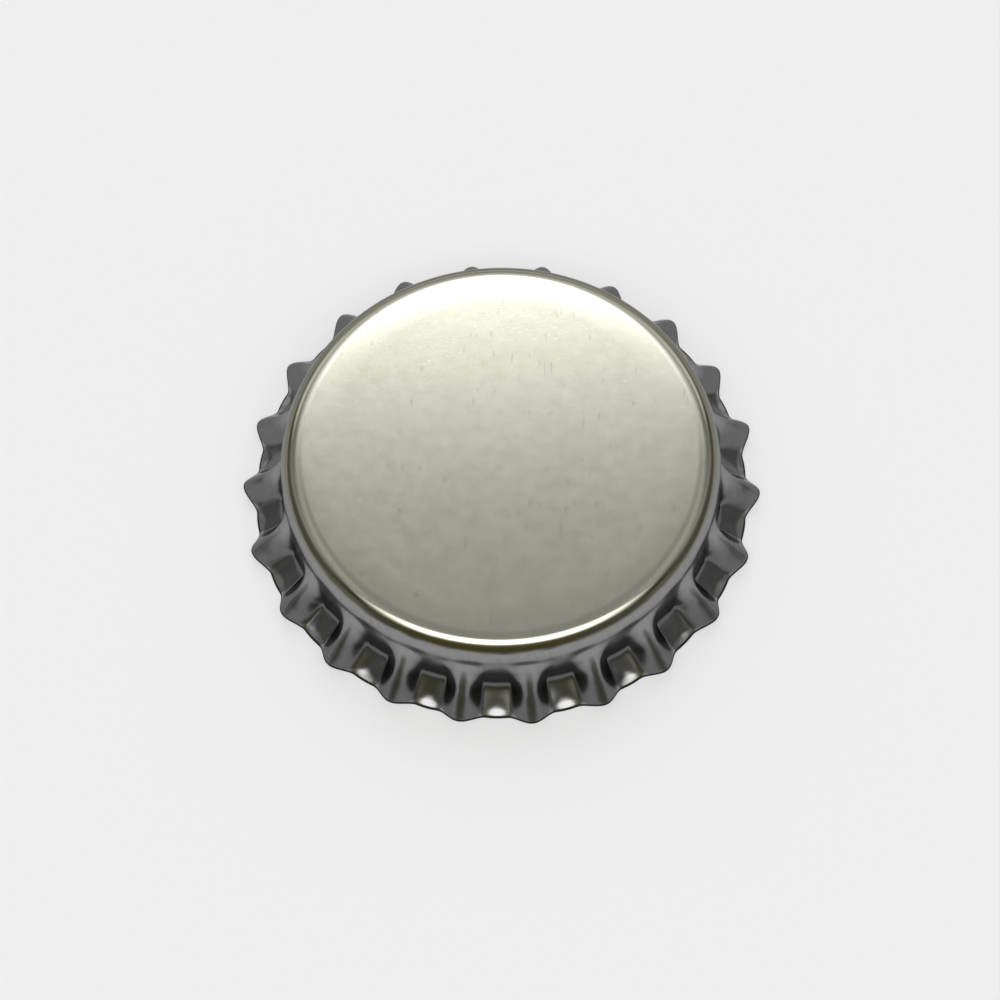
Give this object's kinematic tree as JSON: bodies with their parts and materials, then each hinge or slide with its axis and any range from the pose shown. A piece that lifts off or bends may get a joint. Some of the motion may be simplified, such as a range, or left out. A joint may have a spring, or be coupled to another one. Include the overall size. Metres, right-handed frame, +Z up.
{
  "type": "crown cork bottle cap",
  "caption": "Unprinted steel crown cork with a domed top, rounded shoulder, fluted skirt and moulded sealing liner.",
  "frame": {"origin": "centre of the circle on which the skirt's cut edge stands, at the height of that edge", "axes": "+Z up along the cap's axis, out of the top panel; one tooth tip lies on +X"},
  "size_m": [0.0322, 0.0318, 0.0061],
  "materials": {
    "satin_steel": "satin, fine rolled grain under clear lacquer",
    "seal_compound": "smooth moulded sealing compound"
  },
  "bodies": {
    "root": {"crown_shell": "satin_steel", "liner": "seal_compound"}
  },
  "joints": []
}
